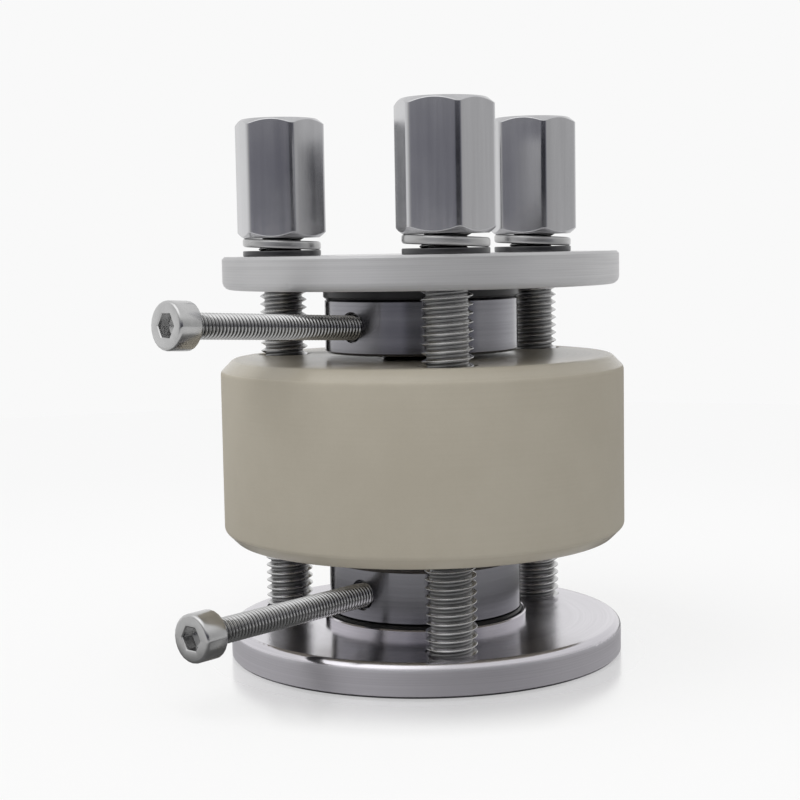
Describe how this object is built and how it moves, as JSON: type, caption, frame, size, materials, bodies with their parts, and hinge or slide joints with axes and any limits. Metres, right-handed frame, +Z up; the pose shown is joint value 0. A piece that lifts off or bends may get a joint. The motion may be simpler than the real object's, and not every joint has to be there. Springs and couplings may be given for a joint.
{
  "type": "solid-state battery test mold",
  "caption": "Round cell for pressing and testing solid-state battery samples: insulating sleeve and steel plunger electrodes squeezed between two plates on threaded studs.",
  "frame": {"origin": "centre of the bottom plate's lower face", "axes": "+Z up along the plungers, -Y towards the front stud, +X to the right of a viewer at the front"},
  "size_m": [0.058, 0.0528, 0.0669],
  "materials": {
    "plate_steel": "turned stainless steel, fine turning lines on the rims, polished inner faces",
    "sleeve_plastic": "grey-tan insulating engineering plastic, satin, faint turning marks",
    "electrode_steel": "polished stainless steel, nearly a mirror",
    "seal_rubber": "black rubber, smooth",
    "disc_plastic": "black insulating plastic, satin",
    "fastener_steel": "rolled stainless steel threads, bright crests",
    "nut_steel": "fine-brushed stainless steel"
  },
  "bodies": {
    "base": {"bottom_plate": "plate_steel", "lower_insulating_disc": "disc_plastic", "lower_electrode": "electrode_steel", "lower_sealing_ring": "seal_rubber", "sleeve": "sleeve_plastic", "front_stud": "fastener_steel", "right_stud": "fastener_steel", "left_stud": "fastener_steel"},
    "clamp_plate": {"top_plate": "plate_steel", "upper_insulating_disc": "disc_plastic", "front_flat_washer": "fastener_steel", "right_flat_washer": "fastener_steel", "left_flat_washer": "fastener_steel", "front_spring_washer": "fastener_steel", "right_spring_washer": "fastener_steel", "left_spring_washer": "fastener_steel"},
    "plunger": {"upper_electrode": "electrode_steel", "upper_sealing_ring": "seal_rubber"},
    "lower_terminal": {"lower_terminal_screw": "fastener_steel"},
    "upper_terminal": {"upper_terminal_screw": "fastener_steel"},
    "front_nut": {"front_coupling_nut": "nut_steel"},
    "right_nut": {"right_coupling_nut": "nut_steel"},
    "left_nut": {"left_coupling_nut": "nut_steel"}
  },
  "joints": [
    {"name": "plate_lift", "type": "slide", "parent": "base", "child": "clamp_plate", "axis": [0, 0, 1], "range_m": [0, 0.007]},
    {"name": "plunger_lift", "type": "slide", "parent": "base", "child": "plunger", "axis": [0, 0, 1], "range_m": [0, 0.007]},
    {"name": "front_nut_turn", "type": "hinge", "parent": "clamp_plate", "child": "front_nut", "pos_m": [0, -0.019, 0.0519], "axis": [0, 0, 1], "range_deg": [0, 2520]},
    {"name": "right_nut_turn", "type": "hinge", "parent": "clamp_plate", "child": "right_nut", "pos_m": [0.01645, 0.0095, 0.0519], "axis": [0, 0, 1], "range_deg": [0, 2520]},
    {"name": "left_nut_turn", "type": "hinge", "parent": "clamp_plate", "child": "left_nut", "pos_m": [-0.01645, 0.0095, 0.0519], "axis": [0, 0, 1], "range_deg": [0, 2520]},
    {"name": "lower_terminal_turn", "type": "hinge", "parent": "base", "child": "lower_terminal", "pos_m": [-0.02855, -0.02482, 0.00865], "axis": [-0.7547, -0.6561, 0], "continuous": true},
    {"name": "upper_terminal_turn", "type": "hinge", "parent": "plunger", "child": "upper_terminal", "pos_m": [-0.03016, -0.02273, 0.04239], "axis": [-0.7974, -0.6009, 0.0558], "continuous": true}
  ],
  "couplings": [
    {"joint": "plunger_lift", "follows": "plate_lift", "ratio": 1},
    {"joint": "front_nut_turn", "follows": "plate_lift", "rad_per_m": 6283.2},
    {"joint": "right_nut_turn", "follows": "plate_lift", "rad_per_m": 6283.2},
    {"joint": "left_nut_turn", "follows": "plate_lift", "rad_per_m": 6283.2}
  ]
}
